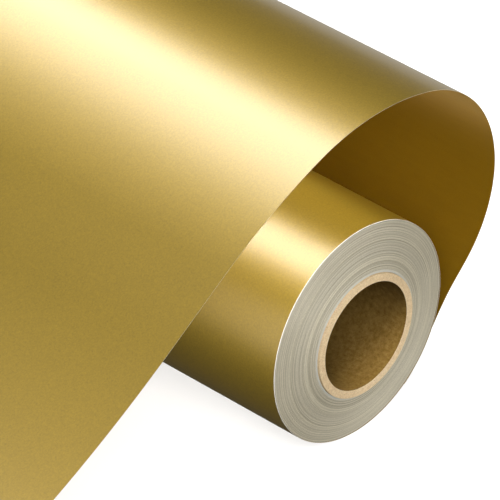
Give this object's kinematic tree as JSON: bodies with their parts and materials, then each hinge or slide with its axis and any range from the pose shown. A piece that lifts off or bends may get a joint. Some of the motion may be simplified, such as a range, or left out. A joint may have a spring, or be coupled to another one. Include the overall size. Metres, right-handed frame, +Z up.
{
  "type": "roll of sign vinyl",
  "caption": "Roll of gold self-adhesive sign vinyl on a board core, its free web curling over the top and running down to the floor.",
  "frame": {"origin": "on the core's axis, at the middle of the core's length", "axes": "+Y along the core's axis, away from the end that the wound turns lean back from; +X towards the side on which the web leaves the roll; +Z up"},
  "size_m": [0.9295, 0.623, 0.2301],
  "materials": {
    "gold_film": "satin",
    "release_liner": "satin",
    "wound_web": "matte",
    "core_board": "matte",
    "core_bore_paper": "matte",
    "start_tape": "matte"
  },
  "bodies": {
    "web": {"web_liner": "release_liner", "web_film": "gold_film"},
    "roll": {"core_inner_ply": "core_bore_paper", "core_ply_1": "core_board", "core_ply_2": "core_board", "core_ply_3": "core_board", "core_ply_4": "core_board", "core_ply_5": "core_board", "core_ply_6": "core_board", "core_ply_7": "core_board", "core_ply_8": "core_board", "core_outer_ply": "core_board", "start_tape": "start_tape", "turns_1": "wound_web", "turns_2": "wound_web", "turns_3": "wound_web", "turns_4": "wound_web", "turns_5": "wound_web", "turns_6": "wound_web", "turns_7": "wound_web", "turns_8": "wound_web", "turns_9": "wound_web", "turns_10": "wound_web", "turns_11": "wound_web", "turns_12": "wound_web", "outer_turn_liner": "release_liner", "outer_turn_film": "gold_film"},
    "flap": {"flap_liner": "release_liner", "flap_film": "gold_film"},
    "lead": {"lead_film": "gold_film"}
  },
  "joints": [
    {"name": "roll_turn", "type": "hinge", "parent": "web", "child": "roll", "pos_m": [0, 0, 0], "axis": [0, 1, 0], "continuous": true},
    {"name": "flap_lift", "type": "hinge", "parent": "web", "child": "flap", "pos_m": [-0.67458, 0, -0.07724], "axis": [0, 1, 0], "range_deg": [0, 75]},
    {"name": "lead_peel", "type": "hinge", "parent": "flap", "child": "lead", "pos_m": [-0.74458, 0, -0.07724], "axis": [0, 1, 0], "range_deg": [0, 120]}
  ]
}
